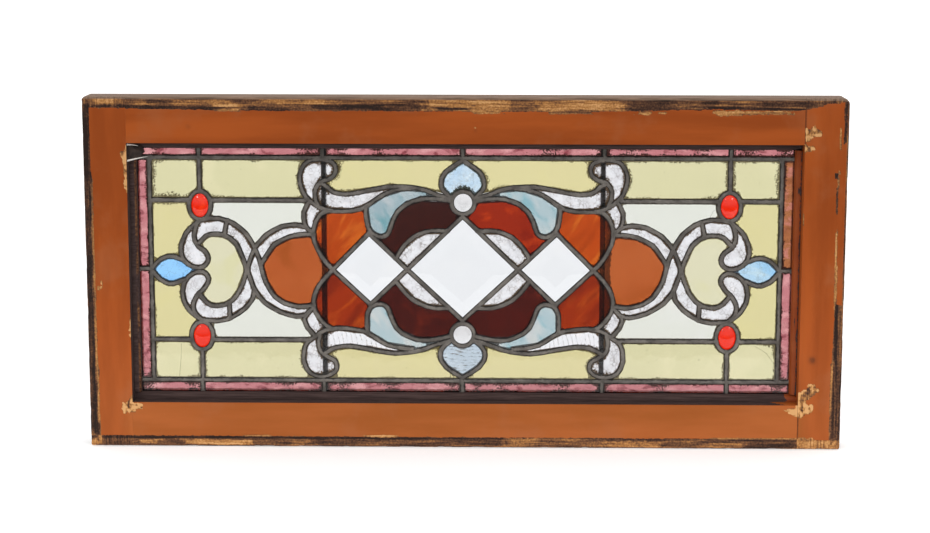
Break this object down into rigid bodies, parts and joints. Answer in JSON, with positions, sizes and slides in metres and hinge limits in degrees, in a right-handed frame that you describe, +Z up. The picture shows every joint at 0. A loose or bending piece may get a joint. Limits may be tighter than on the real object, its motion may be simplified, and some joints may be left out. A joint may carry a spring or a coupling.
{
  "type": "stained glass window",
  "caption": "Wide leaded stained glass transom in a painted wooden sash, with a symmetrical scroll and diamond pattern, bevelled squares and pressed jewels.",
  "frame": {"origin": "middle of the sill edge, the underside of the bottom rail, halfway through the sash's thickness", "axes": "X along the width to the right seen from the front, Y from the front face to the back, +Z up"},
  "size_m": [0.914, 0.044, 0.4275],
  "materials": {
    "sash_paint": "worn orange-brown paint over pale softwood",
    "bead_paint": "dark brown paint, worn and dirty",
    "lead_came": "dull weathered lead with tinned solder joints",
    "bar_steel": "dark rusted steel",
    "glass_yellow": "pale yellow cathedral glass, grimy at the edges",
    "glass_clear": "clear cathedral glass",
    "glass_amber": "streaky dark amber glass",
    "glass_opal": "blue opalescent glass",
    "glass_ruby": "deep ruby glass",
    "glass_red": "pressed orange-red jewels",
    "glass_blue": "light blue glass",
    "glass_orange": "orange-brown glass",
    "glass_pale_blue": "pale blue rippled glass",
    "glass_rondel": "clear pressed rondels",
    "glass_bevel": "clear polished bevelled plate glass"
  },
  "bodies": {
    "root": {"stile_left": "sash_paint", "stile_right": "sash_paint", "rail_top": "sash_paint", "rail_bottom": "sash_paint", "stop_top": "bead_paint", "stop_bottom": "bead_paint", "stop_left": "bead_paint", "stop_right": "bead_paint", "leading": "lead_came", "support_bar_left": "bar_steel", "support_bar_right": "bar_steel", "corner_pane_upper_left": "glass_yellow", "corner_pane_upper_right": "glass_yellow", "corner_pane_lower_left": "glass_yellow", "corner_pane_lower_right": "glass_yellow", "field_pane_upper_left": "glass_yellow", "field_pane_upper_right": "glass_yellow", "field_pane_lower_left": "glass_yellow", "field_pane_lower_right": "glass_yellow", "crown_pane_upper_left": "glass_yellow", "crown_pane_upper_right": "glass_yellow", "crown_pane_lower_left": "glass_yellow", "crown_pane_lower_right": "glass_yellow", "side_pane_upper_left": "glass_yellow", "side_pane_upper_right": "glass_yellow", "side_pane_lower_left": "glass_yellow", "side_pane_lower_right": "glass_yellow", "clear_pane_upper_left": "glass_clear", "clear_pane_upper_right": "glass_clear", "clear_pane_lower_left": "glass_clear", "clear_pane_lower_right": "glass_clear", "amber_pane_upper_left": "glass_amber", "amber_pane_upper_right": "glass_amber", "amber_pane_lower_left": "glass_amber", "amber_pane_lower_right": "glass_amber", "crescent_upper_left": "glass_opal", "crescent_upper_right": "glass_opal", "crescent_lower_left": "glass_opal", "crescent_lower_right": "glass_opal", "ruby_pane_upper_left": "glass_ruby", "ruby_pane_upper_right": "glass_ruby", "ruby_pane_lower_left": "glass_ruby", "ruby_pane_lower_right": "glass_ruby", "jewel_upper_left": "glass_red", "jewel_upper_right": "glass_red", "jewel_lower_left": "glass_red", "jewel_lower_right": "glass_red", "horseshoe_pane_left": "glass_yellow", "blue_diamond_left": "glass_blue", "disc_left": "glass_orange", "horseshoe_pane_right": "glass_yellow", "blue_diamond_right": "glass_blue", "disc_right": "glass_orange", "heart_upper": "glass_pale_blue", "heart_lower": "glass_pale_blue", "rondel_upper": "glass_rondel", "rondel_lower": "glass_rondel", "bevel_left": "glass_bevel", "bevel_centre": "glass_bevel", "bevel_right": "glass_bevel"}
  },
  "joints": []
}
